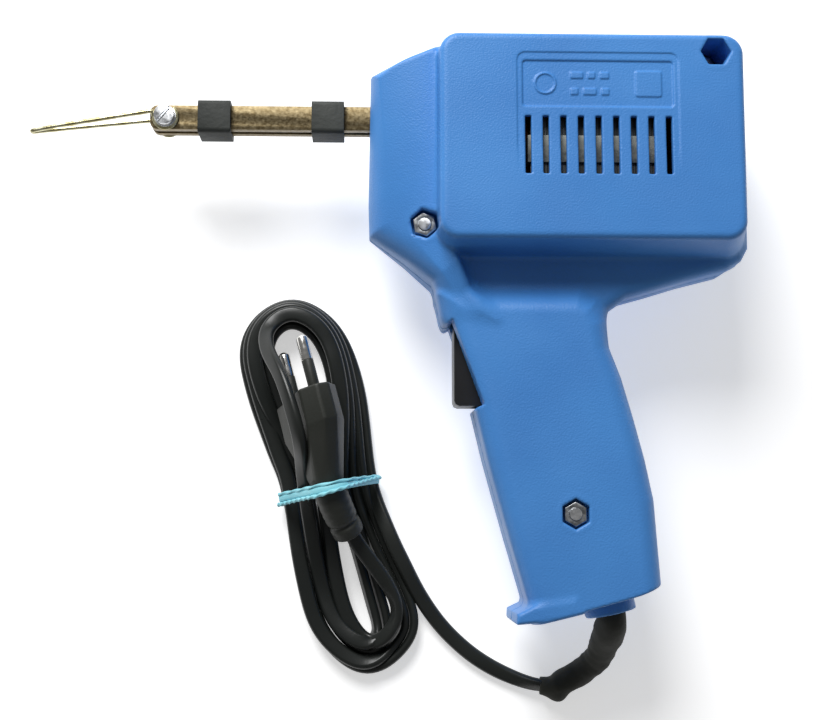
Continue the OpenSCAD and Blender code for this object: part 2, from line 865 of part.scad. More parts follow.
// Places a piece on each pin's axis, with its Z out of the plug's face
module on_pins() {
  in_plug() for (s = [1, -1])
    translate([0, 0, s * plug_pin_gap / 2]) rotate([-90, 0, 0]) children();
}

module plug_pins() {
  color("#c9ccd0") on_pins() {
    translate([0, 0, -pin_root]) cylinder(r = pin_core_r, h = pin_root + pin_sleeve_l);
    translate([0, 0, pin_sleeve_l]) cylinder(r = plug_pin_r, h = pin_l - pin_sleeve_l - 1);
    translate([0, 0, pin_l - 1]) cylinder(r1 = plug_pin_r, r2 = plug_pin_r - 1, h = 1);
  }
}

module pin_sleeves() {
  color("#1b1c1c") on_pins() difference() {
    cylinder(r = plug_pin_r, h = pin_sleeve_l);
    translate([0, 0, -1]) cylinder(r = pin_core_r, h = pin_sleeve_l + 2);
  }
}

// Prism with the outline of the stretched band, grown by grow; the band passes under
// the hank and over the plug's back end
module band_form(width, grow) {
  translate([band_at[0], band_at[1], 0]) rotate(band_turn)
    along_y(-width / 2, width) hull() {
      for (round = band_rounds)
        translate([round[0], round[1]]) circle(r = round[2] + grow, $fn = 24);
    }
}

module rubber_band() {
  color("#3fb8cc") difference() {
    band_form(band_w, 0);
    band_form(band_w + 2, -band_t);
  }
}

shell_near();
shell_far();
case_bolts();
case_nuts();
secondary_loop();
bar_sleeve_front();
bar_sleeve_rear();
bar_spacer();
clamp_screws();
clamp_washers();
soldering_tip();
core_e_stack();
core_i_stack();
core_straps();
coil_bobbin();
primary_winding();
trigger();
trigger_pin();
switch_body();
switch_cover();
switch_plunger();
moving_contact();
switch_spring();
fixed_contacts();
lead_wires();
cord_clamp();
cord_clamp_screws();
cord_inner_end();
bend_sleeve();
cord_lead();
cord_hank();
plug_body();
plug_pins();
pin_sleeves();
rubber_band();
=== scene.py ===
"""Looks of a pistol-type transformer soldering gun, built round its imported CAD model.

The gun lies on its side on a pale table. Every length below is in millimetres and is
turned into metres by the functions that make the meshes.
"""

import math

import bmesh
import bpy
import numpy as np
from mathutils import Matrix, Vector


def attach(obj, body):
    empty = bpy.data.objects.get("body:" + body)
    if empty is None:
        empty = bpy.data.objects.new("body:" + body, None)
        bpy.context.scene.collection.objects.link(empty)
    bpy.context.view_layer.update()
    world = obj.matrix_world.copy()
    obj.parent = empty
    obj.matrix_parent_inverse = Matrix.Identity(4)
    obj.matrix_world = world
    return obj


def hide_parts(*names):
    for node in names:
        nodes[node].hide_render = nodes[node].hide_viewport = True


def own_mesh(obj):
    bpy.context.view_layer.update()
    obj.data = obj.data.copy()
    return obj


MM = 0.001
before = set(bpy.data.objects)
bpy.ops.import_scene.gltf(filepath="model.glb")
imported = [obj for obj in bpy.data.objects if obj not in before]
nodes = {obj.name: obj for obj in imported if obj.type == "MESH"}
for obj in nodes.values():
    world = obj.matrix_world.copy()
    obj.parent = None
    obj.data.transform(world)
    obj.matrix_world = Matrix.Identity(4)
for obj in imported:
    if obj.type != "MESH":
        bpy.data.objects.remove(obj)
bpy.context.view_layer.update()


# ---------------------------------------------------------------- camera, light, table

CAMERA_AT = Vector((-6.63, -60.3, 480.0)) * MM
CAMERA_LOOKS_AT = Vector((6.7, -9.3, 30.0)) * MM
CAMERA_LENS = 59.78
KEY_AT = (-0.25, 0.75, 0.70)
KEY_LOOKS_AT = (0.03, 0.0, 0.02)
KEY_SIZE = 0.55
KEY_POWER = 13.2
WORLD_STRENGTH = 0.19
FLOOR_SIZE = 4.0
FLOOR_Z = -0.0004
FLOOR_SHADE = 0.86
FLOOR_GLOW = 0.5
WHITE = (1.0, 1.0, 1.0, 1.0)


def make_camera():
    data = bpy.data.cameras.new("camera")
    data.lens = CAMERA_LENS
    data.sensor_width = 36.0
    data.sensor_fit = "HORIZONTAL"
    data.clip_start = 0.01
    camera = bpy.data.objects.new("camera", data)
    bpy.context.scene.collection.objects.link(camera)
    forward = (CAMERA_LOOKS_AT - CAMERA_AT).normalized()
    right = forward.cross(Vector((0, 1, 0))).normalized()
    up = right.cross(forward)
    turn = Matrix((right, up, -forward)).transposed().to_4x4()
    camera.matrix_world = Matrix.Translation(CAMERA_AT) @ turn
    bpy.context.scene.camera = camera


def make_key_light():
    """One soft disk above and behind the gun."""
    data = bpy.data.lights.new("key", "AREA")
    data.shape = "DISK"
    data.size = KEY_SIZE
    data.energy = KEY_POWER
    light = bpy.data.objects.new("key", data)
    bpy.context.scene.collection.objects.link(light)
    light.location = KEY_AT
    way = Vector(KEY_LOOKS_AT) - Vector(KEY_AT)
    light.rotation_euler = way.to_track_quat("-Z", "Y").to_euler()


def make_world():
    scene = bpy.context.scene
    scene.view_settings.view_transform = "Standard"
    world = bpy.data.worlds.new("studio")
    scene.world = world
    world.use_nodes = True
    background = world.node_tree.nodes["Background"]
    background.inputs["Color"].default_value = WHITE
    background.inputs["Strength"].default_value = WORLD_STRENGTH


def make_table():
    """Pale table that glows a little, so that it stays white round the soft shadow."""
    bpy.ops.mesh.primitive_plane_add(size=FLOOR_SIZE, location=(0, 0, FLOOR_Z))
    floor = bpy.context.object
    floor.name = "table"
    paint, _, shader = new_material("table_white", (FLOOR_SHADE,) * 3, 0.6)
    shader.inputs["Emission Color"].default_value = WHITE
    shader.inputs["Emission Strength"].default_value = FLOOR_GLOW
    floor.data.materials.append(paint)


# ---------------------------------------------------------------- shapes as distances
# A shape is a function of x, y and z that is negative inside. The two shells share one
# shape: z here is the distance from the parting plane.

def smooth_min(a, b, k):
    """Union of two shapes, with a fillet of about size k between them."""
    h = np.clip(0.5 + 0.5 * (b - a) / k, 0.0, 1.0)
    return b + (a - b) * h - k * h * (1.0 - h)


def smooth_max(a, b, k):
    """What two shapes share, with an edge softened by about k."""
    return -smooth_min(-a, -b, k)


def polygon(x, y, points):
    """Distance to a polygon in the plane, negative inside."""
    points = np.asarray(points, float)
    best = None
    inside = None
    for (ax, ay), (bx, by) in zip(points, np.roll(points, -1, axis=0)):
        ex, ey = bx - ax, by - ay
        wx, wy = x - ax, y - ay
        t = np.clip((wx * ex + wy * ey) / (ex * ex + ey * ey), 0.0, 1.0)
        gap = (wx - ex * t) ** 2 + (wy - ey * t) ** 2
        crossed = ((ay > y) != (by > y)) & (wx < wy * ex / (ey if ey else 1e-9))
        best = gap if best is None else np.minimum(best, gap)
        inside = crossed if inside is None else inside ^ crossed
    return np.where(inside, -1.0, 1.0) * np.sqrt(best)


def round_box(x, y, cx, cy, hx, hy, r):
    """Distance to a rectangle with round corners."""
    qx = np.abs(x - cx) - hx + r
    qy = np.abs(y - cy) - hy + r
    outer = np.hypot(np.maximum(qx, 0.0), np.maximum(qy, 0.0))
    return outer + np.minimum(np.maximum(qx, qy), 0.0) - r


def rounded(side, top, r):
    """Joins a side and a top distance with an edge of radius r."""
    qs, qt = side + r, top + r
    outer = np.hypot(np.maximum(qs, 0.0), np.maximum(qt, 0.0))
    return outer + np.minimum(np.maximum(qs, qt), 0.0) - r


def line(x, y, a, b):
    """Signed distance to the line from a to b, positive on its left."""
    ex, ey = b[0] - a[0], b[1] - a[1]
    length = math.hypot(ex, ey)
    return ((y - a[1]) * ex - (x - a[0]) * ey) / length


def ramp(value, low, high):
    """0 below low, 1 above high, and a soft step between."""
    t = np.clip((value - low) / (high - low), 0.0, 1.0)
    return t * t * (3.0 - 2.0 * t)


WALL = 2.5
# Heights of the outer faces above the parting plane, which lies PART_Z above the table
PART_Z = 30.0
HOUSING_TOP = 30.0
NOSE_TOP = 22.0
GRIP_TOP = 17.5
SKIRT_TOP = 12.0

# Housing block at its top: left, right, lower and upper side, and how far each leans out
HOUSING_SIDES = ((16.5, -2.5), (115.4, 5.6), (26.3, -4.3), (94.3, 0.7))
HOUSING_CORNER_R = 6.5
HOUSING_EDGE_R = 2.4

# Edge radii and softened edges, and the fillets where parts of the shell run together
NOSE_EDGE_R = 1.6
GRIP_EDGE_R = 7.0
FLANGE_EDGE_R = 1.2
SKIRT_EDGE_R = 4.0
GRIP_END_EDGE = 0.8
NOSE_FOOT_EDGE = 7.0
RECESS_EDGE = 0.6
CUT_EDGE = 0.4
BOLT_HOLE_EDGE = 0.5
VENT_EDGE = 0.35
FLANGE_FILLET = 2.6
GRIP_FILLET = 4.0
SKIRT_FILLET = 4.5
HOUSING_FILLET = 1.5
POST_FILLET = 0.8
PARTING_EDGE = 0.3

# The nose's groove: depth, and where it deepens along y and x
GROOVE = (4.2, (28.0, 42.0), (14.9, 19.6))
# Sloping face along the nose's lower side: the points it follows, the outward and upward
# parts of its direction, and how deep it cuts into the nose's upper edge
NOSE_FOOT = ((19.9, 1.2), (15, 15.5), (-5.9, 31.6))
NOSE_FOOT_LEAN = (0.5, 0.866)
NOSE_FOOT_DEPTH = 4.0
FLANGE_DROP = 0.2

# Outlines seen from above
NOSE = [
    (-5.9, 31.6), (-6.2, 43), (-5.6, 84), (-2.4, 85.2), (9.9, 89.7), (21, 94.4), (40, 94.4),
    (40, 32), (17, 31), (22.5, 25.4), (27.5, 13.5), (31, 9), (35, 2), (19.5, 1), (17.3, 9.5),
    (15, 15.5), (6.1, 22.9),
]
GRIP = [
    (17.5, 10.8), (19.9, 1.2), (28.8, -27), (32.6, -43), (36.1, -56.1), (39.7, -69.1),
    (45.1, -87.9), (51, -110), (90, -110), (88.6, -83), (88.3, -78.9),
    (87.6, -69.1), (86.7, -56.1), (84, -42.9), (80.6, -29.7), (76.8, -16.3), (73, -6.3),
    (71.6, 2), (68.5, 8.4), (63, 11.2), (30, 11.2),
]
GRIP_END = [(48.6, -95), (66.6, -90.8), (83.2, -86), (91, -82.4)]
SKIRT = [
    (20, 45), (20, 4), (30, 0), (70.8, -4), (71.8, 2.5), (73.6, 6.5), (79.5, 10.6),
    (88.8, 13.2), (99.9, 16.6), (113.4, 20.1), (118.3, 23.2), (120.6, 27.5), (120.6, 45),
]
FLANGE = [(41.4, -92.3), (41.2, -95.7), (48.6, -95.1), (62.0, -91.9), (60, -88), (46.5, -89.9)]
TRIGGER_RECESS = [(5, 0), (19.9, 1.2), (21.5, 2.3), (31.5, -25.4), (28.8, -26.4), (5, -27)]
TRIGGER_SLOT = [(21.7, 8), (21.7, 1.6), (15, 1), (15, -26), (38, -26), (38, 8)]


def housing_shape(x, y, z):
    """Block round the transformer, whose sides lean out towards the parting plane."""
    lean_h = HOUSING_TOP - HOUSING_EDGE_R
    t = np.clip((lean_h - z) / lean_h, 0.0, 1.0)
    x0, x1, y0, y1 = (at + lean * t for at, lean in HOUSING_SIDES)
    side = round_box(
        x, y, (x0 + x1) / 2, (y0 + y1) / 2, (x1 - x0) / 2, (y1 - y0) / 2, HOUSING_CORNER_R)
    return rounded(side, z - HOUSING_TOP, HOUSING_EDGE_R)


def nose_shape(x, y, z):
    """Nose with a round lower edge and a sloping groove beside the housing."""
    depth, along_y, along_x = GROOVE
    groove = depth * ramp(y, *along_y) * ramp(x, *along_x)
    body = rounded(polygon(x, y, NOSE), z - NOSE_TOP + groove, NOSE_EDGE_R)
    first, second, third = NOSE_FOOT
    low = np.maximum(line(x, y, second, third), line(x, y, first, second))
    out, up = NOSE_FOOT_LEAN
    lean = out * low + up * (z - NOSE_TOP) + NOSE_FOOT_DEPTH
    return smooth_max(body, lean, NOSE_FOOT_EDGE)


def grip_shape(x, y, z):
    """Grip with widely rounded long sides and a sharper lower end."""
    body = rounded(polygon(x, y, GRIP), z - GRIP_TOP, GRIP_EDGE_R)
    for a, b in zip(GRIP_END, GRIP_END[1:]):
        body = smooth_max(body, -line(x, y, a, b), GRIP_END_EDGE)
    flange = rounded(polygon(x, y, FLANGE), z - GRIP_TOP + FLANGE_DROP, FLANGE_EDGE_R)
    return smooth_min(body, flange, FLANGE_FILLET)


def outer_shape(x, y, z):
    """The outside of the shell: housing, nose, grip and the low skirt round them."""
    skirt = rounded(polygon(x, y, SKIRT), z - SKIRT_TOP, SKIRT_EDGE_R)
    low = smooth_min(nose_shape(x, y, z), grip_shape(x, y, z), GRIP_FILLET)
    low = smooth_min(low, skirt, SKIRT_FILLET)
    whole = smooth_min(housing_shape(x, y, z), low, HOUSING_FILLET)
    return smooth_max(whole, -polygon(x, y, TRIGGER_RECESS), RECESS_EDGE)


# Flat fields of the face: middle, half size and corner radius
FACE = (66.0, 60.0, 44.0, 29.0, 4.0)
PANEL = (67.55, 66.0, 26.15, 21.5, 2.6)
LABEL = (67.6, 77.25, 24.4, 7.55, 1.0)
PANEL_DEPTH = 0.3
LABEL_DEPTH = 0.5
MARK_HEIGHT = 0.35

# Marks on the label: the ring's middle, radius and half width, the tile as a field, and
# for each row of bars its place and the widths of its bars
MARK_RING_AT = (50.5, 77.3)
MARK_RING_R = 3.3
MARK_RING_HALF_W = 0.35
TILE = (84.0, 77.3, 4.3, 4.3, 0.8)
BAR_ROWS = ((80.0, (4.2, 2.4, 3.0)), (74.6, (2.6, 4.4, 2.6)))
BARS_FROM = 58.6
BAR_HALF_H = 1.1
BAR_GAP = 1.5
BAR_CORNER_R = 0.4


def face_depth(x, y):
    """How far the flat face lies under its general level in the panel and the label."""
    panel = round_box(x, y, *PANEL)
    label = round_box(x, y, *LABEL)
    depth = PANEL_DEPTH * (1.0 - ramp(panel, -0.15, 0.15)) * ramp(y, 46.0, 62.0)
    depth = depth + LABEL_DEPTH * (1.0 - ramp(label, -0.2, 0.25))
    return depth * (1.0 - ramp(round_box(x, y, *FACE), -1.0, 0.0))


def label_marks(x, y):
    """Plain raised marks: a ring, two rows of bars and a solid tile."""
    to_ring = np.hypot(x - MARK_RING_AT[0], y - MARK_RING_AT[1])
    ring = np.abs(to_ring - MARK_RING_R) - MARK_RING_HALF_W
    marks = np.minimum(ring, round_box(x, y, *TILE))
    for row, widths in BAR_ROWS:
        left = BARS_FROM
        for width in widths:
            bar = round_box(
                x, y, left + width / 2, row, width / 2, BAR_HALF_H, BAR_CORNER_R)
            marks = np.minimum(marks, bar)
            left += width + BAR_GAP
    return marks


def hexagon(x, y, at, flats, turn):
    """Distance to a hexagon of the given width across flats."""
    px, py = x - at[0], y - at[1]
    best = None
    for k in range(3):
        a = turn + k * math.pi / 3
        d = np.abs(px * math.cos(a) + py * math.sin(a)) - flats / 2
        best = d if best is None else np.maximum(best, d)
    return best


# Case bolts: place, turn of the nut pocket and height of its floor
BOLTS = (
    ((60.5, -60.7), 0.0, 13.5),
    ((12.2, 33.5), math.radians(10), 13.5),
    ((106.2, 88.3), math.radians(30), 11.0),
)
POST_R = 5.8
POST_SHORT = 0.4
BOLT_HOLE_R = 2.2
HEAD_RECESS_R = 4.2
NUT_POCKET_FLATS = 8.6

# Trigger hinge: the boss starts at one height, and the pin's blind hole ends at another
PIVOT = (27.0, 6.0)
PIVOT_BOSS_R = 3.6
PIVOT_BOSS_FROM = 7.1
PIN_HOLE_R = 1.5
PIN_HOLE_TO = 12.1
PIN_HOLE_EDGE = 0.2
TRIGGER_SLOT_HALF_W = 6.8

# Cord outlet: the collar's radius and its middle and half length along the axis
OUTLET = (72.8, -86.9)
OUTLET_TURN = math.radians(12.5)
COLLAR_R = 8.5
COLLAR_MIDDLE = 1.65
COLLAR_HALF_L = 4.65
COLLAR_EDGE_R = 0.5
OUTLET_BORE_R = 4.75
OUTLET_BORE_HALF_L = 14.0

# Cooling slots, and the mouth that the bars come out of
VENT_X = (44.9, 90.4)
VENT_GAPS = 8
VENT_PITCH = (VENT_X[1] - VENT_X[0]) / VENT_GAPS
VENT_Y = 57.0
VENT_HALF = (1.0, 9.5)
VENT_CORNER_R = 0.3
VENT_FROM = 20.0
MOUTH_X = -4.5
MOUTH_Y = 72.5
MOUTH_HALF = (5.0, 4.2, 4.3)


def along_outlet(x, y, z):
    """Distance from the cord outlet's axis, and place along it, outwards."""
    ux, uy = math.sin(OUTLET_TURN), -math.cos(OUTLET_TURN)
    px, py = x - OUTLET[0], y - OUTLET[1]
    along = px * ux + py * uy
    across = -px * uy + py * ux
    return np.hypot(across, z), along


def add_posts(shell, outer, x, y, z):
    """Round posts for the case bolts and the boss of the trigger's pin."""
    for at, _, _ in BOLTS:
        post = np.maximum(np.hypot(x - at[0], y - at[1]) - POST_R, outer + POST_SHORT)
        shell = smooth_min(shell, post, POST_FILLET)
    to_pivot = np.hypot(x - PIVOT[0], y - PIVOT[1])
    boss = np.maximum(to_pivot - PIVOT_BOSS_R, PIVOT_BOSS_FROM - z)
    return smooth_min(shell, np.maximum(boss, outer + POST_SHORT), POST_FILLET)


def add_outlet(shell, x, y, z):
    """Collar round the cord outlet, and the hole through it."""
    radius, along = along_outlet(x, y, z)
    ends = np.abs(along - COLLAR_MIDDLE) - COLLAR_HALF_L
    collar = rounded(radius - COLLAR_R, ends, COLLAR_EDGE_R)
    shell = smooth_min(shell, collar, COLLAR_EDGE_R)
    bore = np.maximum(radius - OUTLET_BORE_R, np.abs(along) - OUTLET_BORE_HALF_L)
    return smooth_max(shell, -bore, CUT_EDGE)


def cut_openings(shell, x, y, z):
    """Cooling slots, the mouth for the bars and the slot for the trigger."""
    number = np.clip(np.round((x - VENT_X[0]) / VENT_PITCH), 0, VENT_GAPS)
    vent_x = number * VENT_PITCH + VENT_X[0]
    vents = round_box(x - vent_x, y, 0.0, VENT_Y, *VENT_HALF, VENT_CORNER_R)
    shell = smooth_max(shell, -np.maximum(vents, VENT_FROM - z), VENT_EDGE)
    mouth = np.maximum(
        np.maximum(np.abs(y - MOUTH_Y) - MOUTH_HALF[1], z - MOUTH_HALF[2]),
        np.abs(x - MOUTH_X) - MOUTH_HALF[0])
    shell = smooth_max(shell, -mouth, CUT_EDGE)
    slot = np.maximum(polygon(x, y, TRIGGER_SLOT), z - TRIGGER_SLOT_HALF_W)
    return smooth_max(shell, -slot, CUT_EDGE)


def cut_holes(shell, x, y, z, near):
    """Bolt holes with a nut pocket or a head's recess, and the blind hole for the pin."""
    for at, turn, floor in BOLTS:
        to_bolt = np.hypot(x - at[0], y - at[1])
        wide = hexagon(x, y, at, NUT_POCKET_FLATS, turn) if near else to_bolt - HEAD_RECESS_R
        hole = np.minimum(np.maximum(wide, floor - z), to_bolt - BOLT_HOLE_R)
        shell = smooth_max(shell, -hole, BOLT_HOLE_EDGE)
    to_pivot = np.hypot(x - PIVOT[0], y - PIVOT[1])
    pin_hole = to_pivot - PIN_HOLE_R + np.maximum(z - PIN_HOLE_TO, 0)
    return smooth_max(shell, -pin_hole, PIN_HOLE_EDGE)


def shell_shape(x, y, z, near):
    """One open shell, from its parting plane at z 0 up."""
    outer = outer_shape(x, y, z)
    depth = face_depth(x, y)
    if near:
        depth = depth - MARK_HEIGHT * (1.0 - ramp(label_marks(x, y), -0.2, 0.15))
    wall_top = np.maximum(outer, z - HOUSING_TOP + depth)
    shell = smooth_max(wall_top, -(outer + WALL), CUT_EDGE)
    shell = add_posts(shell, outer, x, y, z)
    shell = add_outlet(shell, x, y, z)
    shell = cut_openings(shell, x, y, z)
    shell = cut_holes(shell, x, y, z, near)
    return smooth_max(shell, -z, PARTING_EDGE)


# ---------------------------------------------------------------- meshes from shapes

def steps_through(*spans):
    """Grid places along one axis, from spans of (from, to, step)."""
    parts = [np.arange(a, b, step) for a, b, step in spans]
    return np.concatenate(parts + [[spans[-1][1]]])


def surface_net(shape, axes):
    """Points and four-sided faces on the zero level of shape.

    Each cell of the grid that the surface passes gets one point, the mean of its edges'
    crossings. Each grid edge that the surface cuts gets one face between four cells.
    """
    gx, gy, gz = np.ix_(*axes)
    values = shape(gx, gy, gz).astype(np.float32)
    solid = values < 0
    corner = [solid[i:i - 1 or None, j:j - 1 or None, k:k - 1 or None]
              for i in (0, 1) for j in (0, 1) for k in (0, 1)]
    count = sum(c.astype(np.int8) for c in corner)
    active = np.argwhere((count > 0) & (count < 8))
    number = -np.ones(count.shape, np.int64)
    number[tuple(active.T)] = np.arange(len(active))
    offsets = np.array([(i, j, k) for i in (0, 1) for j in (0, 1) for k in (0, 1)])
    at_corner = np.stack([values[tuple((active + o).T)] for o in offsets], axis=1)
    total = np.zeros((len(active), 3))
    hits = np.zeros(len(active))
    for a in range(8):
        for b in range(a + 1, 8):
            if np.abs(offsets[a] - offsets[b]).sum() != 1:
                continue
            va, vb = at_corner[:, a], at_corner[:, b]
            cut = (va < 0) != (vb < 0)
            share = np.where(cut, va / np.where(cut, va - vb, 1.0), 0.0)
            point = offsets[a] + share[:, None] * (offsets[b] - offsets[a])
            total += point * cut[:, None]
            hits += cut
    place = active + total / hits[:, None]
    points = np.stack([
        np.interp(place[:, k], np.arange(len(axes[k])), axes[k]) for k in range(3)], axis=1)
    faces = []
    for axis in range(3):
        u, v = [(1, 2), (2, 0), (0, 1)][axis]
        ahead = np.roll(solid, -1, axis=axis)
        change = solid != ahead
        index = [slice(1, -1)] * 3
        index[axis] = slice(0, -1)
        where = np.argwhere(change[tuple(index)])
        start = np.ones(3, int)
        start[axis] = 0
        where = where + start
        out = solid[tuple(where.T)]
        du, dv = np.eye(3, dtype=int)[u], np.eye(3, dtype=int)[v]
        ring = [where, where - du, where - du - dv, where - dv]
        quad = np.stack([number[tuple(r.T)] for r in ring], axis=1)
        faces.append(np.where(out[:, None], quad, quad[:, ::-1]))
    return points, np.concatenate(faces)


SLOPE_STEP = 0.05
LEAST_SLOPE = 0.2
PULL_ROUNDS = 3
PULL_LIMIT = 0.45


def pull_to_surface(shape, points, step):
    """Moves points along the gradient onto the zero level, by less than half a step."""
    h = SLOPE_STEP
    limit = PULL_LIMIT * step
    home = points.copy()
    for _ in range(PULL_ROUNDS):
        x, y, z = points.T
        value = shape(x, y, z)
        slope = np.stack([
            shape(x + h, y, z) - shape(x - h, y, z),
            shape(x, y + h, z) - shape(x, y - h, z),
            shape(x, y, z + h) - shape(x, y, z - h)], axis=1) / (2 * h)
        size = np.maximum((slope ** 2).sum(axis=1), LEAST_SLOPE)
        points = points - slope * (value / size)[:, None]
        points = home + np.clip(points - home, -limit, limit)
    return points


def smooth_shaded(mesh):
    mesh.polygons.foreach_set("use_smooth", [True] * len(mesh.polygons))


def linked(name, mesh):
    """A new object that holds the mesh."""
    obj = bpy.data.objects.new(name, mesh)
    bpy.context.scene.collection.objects.link(obj)
    return obj


def mesh_object(name, points, faces):
    """Smooth object from points in millimetres. Faces are an array of quads or a list."""
    mesh = bpy.data.meshes.new(name)
    points = np.asarray(points, float) * MM
    if isinstance(faces, np.ndarray):
        size = faces.shape[1]
        mesh.vertices.add(len(points))
        mesh.vertices.foreach_set("co", points.ravel())
        mesh.loops.add(faces.size)
        mesh.loops.foreach_set("vertex_index", faces.ravel().astype(np.int32))
        mesh.polygons.add(len(faces))
        mesh.polygons.foreach_set("loop_start", np.arange(0, faces.size, size, dtype=np.int32))
        mesh.update(calc_edges=True)
        mesh.validate()
    else:
        mesh.from_pydata([tuple(p) for p in points], [], faces)
        mesh.update()
    smooth_shaded(mesh)
    return linked(name, mesh)


# Grid steps, and the spans of x, y and z in which the near shell's grid is fine
COARSE_STEP = 0.75
FINE_STEP = 0.4
GRID_X = (-9.3, 38.7, 97.1, 124.5)
GRID_Y = (-98.3, 43.0, 98.2)
GRID_Z = (-1.5, 27.0, 31.2)


def make_shell(name, near):
    """A housing half. The near one has a finer grid where its face and label lie."""
    coarse = COARSE_STEP
    fine = FINE_STEP if near else COARSE_STEP
    axes = [
        steps_through(*zip(places, places[1:], (coarse, fine, coarse)))
        for places in (GRID_X, GRID_Y, GRID_Z)]

    def shape(x, y, z):
        return shell_shape(x, y, z, near)

    points, faces = surface_net(shape, axes)
    points = pull_to_surface(shape, points, fine)
    if near:
        points[:, 2] = PART_Z + points[:, 2]
    else:
        points[:, 2] = PART_Z - points[:, 2]
        faces = faces[:, ::-1]
    return mesh_object(name, points, np.ascontiguousarray(faces))


# ---------------------------------------------------------------- materials

PLASTIC_SPECULAR = 0.36


def new_material(name, color, roughness, metallic=0.0):
    material = bpy.data.materials.new(name)
    material.use_nodes = True
    tree = material.node_tree
    shader = tree.nodes["Principled BSDF"]
    shader.inputs["Base Color"].default_value = (*color, 1.0)
    shader.inputs["Roughness"].default_value = roughness
    shader.inputs["Metallic"].default_value = metallic
    return material, tree, shader


def noise(tree, scale, detail=3.0, stretch=None):
    """Noise in the object's own metres, stretched along an axis if asked."""
    place = tree.nodes.new("ShaderNodeTexCoord").outputs["Object"]
    if stretch:
        mapping = tree.nodes.new("ShaderNodeMapping")
        mapping.inputs["Scale"].default_value = stretch
        tree.links.new(place, mapping.inputs["Vector"])
        place = mapping.outputs["Vector"]
    made = tree.nodes.new("ShaderNodeTexNoise")
    made.inputs["Scale"].default_value = scale
    made.inputs["Detail"].default_value = detail
    tree.links.new(place, made.inputs["Vector"])
    return made.outputs["Fac"]


def blend_colors(tree, shader, factor, low, high, start=0.35, end=0.65):
    tint = tree.nodes.new("ShaderNodeValToRGB")
    tint.color_ramp.elements[0].position = start
    tint.color_ramp.elements[0].color = (*low, 1.0)
    tint.color_ramp.elements[1].position = end
    tint.color_ramp.elements[1].color = (*high, 1.0)
    tree.links.new(factor, tint.inputs["Fac"])
    tree.links.new(tint.outputs["Color"], shader.inputs["Base Color"])


def bump(tree, shader, height, strength, distance=0.0002):
    made = tree.nodes.new("ShaderNodeBump")
    made.inputs["Strength"].default_value = strength
    made.inputs["Distance"].default_value = distance
    tree.links.new(height, made.inputs["Height"])
    tree.links.new(made.outputs["Normal"], shader.inputs["Normal"])


def vary_roughness(tree, shader, factor, low, high):
    made = tree.nodes.new("ShaderNodeMapRange")
    made.inputs["From Min"].default_value = 0.3
    made.inputs["From Max"].default_value = 0.7
    made.inputs["To Min"].default_value = low
    made.inputs["To Max"].default_value = high
    tree.links.new(factor, made.inputs["Value"])
    tree.links.new(made.outputs["Result"], shader.inputs["Roughness"])


def plastic(name, low, high, roughness, grain, strength):
    """Moulded plastic or rubber with a fine grain and slow changes of shade."""
    material, tree, shader = new_material(name, low, roughness)
    shader.inputs["Specular IOR Level"].default_value = PLASTIC_SPECULAR
    blend_colors(tree, shader, noise(tree, 25.0, 4.0), low, high)
    bump(tree, shader, noise(tree, grain), strength)
    vary_roughness(tree, shader, noise(tree, 60.0), roughness - 0.06, roughness + 0.06)
    return material


def metal(name, low, high, roughness, spots, strength=0.1, stretch=None):
    """Metal with patches of tarnish and fine scratches."""
    material, tree, shader = new_material(name, low, roughness, 1.0)
    blend_colors(tree, shader, noise(tree, spots, 6.0, stretch), low, high)
    bump(tree, shader, noise(tree, 900.0, 3.0, stretch), strength, 0.0001)
    vary_roughness(tree, shader, noise(tree, spots * 2, 4.0), roughness - 0.1, roughness + 0.12)
    return material


def laminated_steel():
    """Edges of stacked transformer sheets, which run across X."""
    material, tree, shader = new_material("laminated_steel", (0.3, 0.31, 0.32), 0.45, 0.9)
    layers = noise(tree, 1.0, 2.0, (1500.0, 20.0, 20.0))
    blend_colors(tree, shader, layers, (0.03, 0.034, 0.036), (0.13, 0.14, 0.145))
    bump(tree, shader, layers, 0.5)
    return material


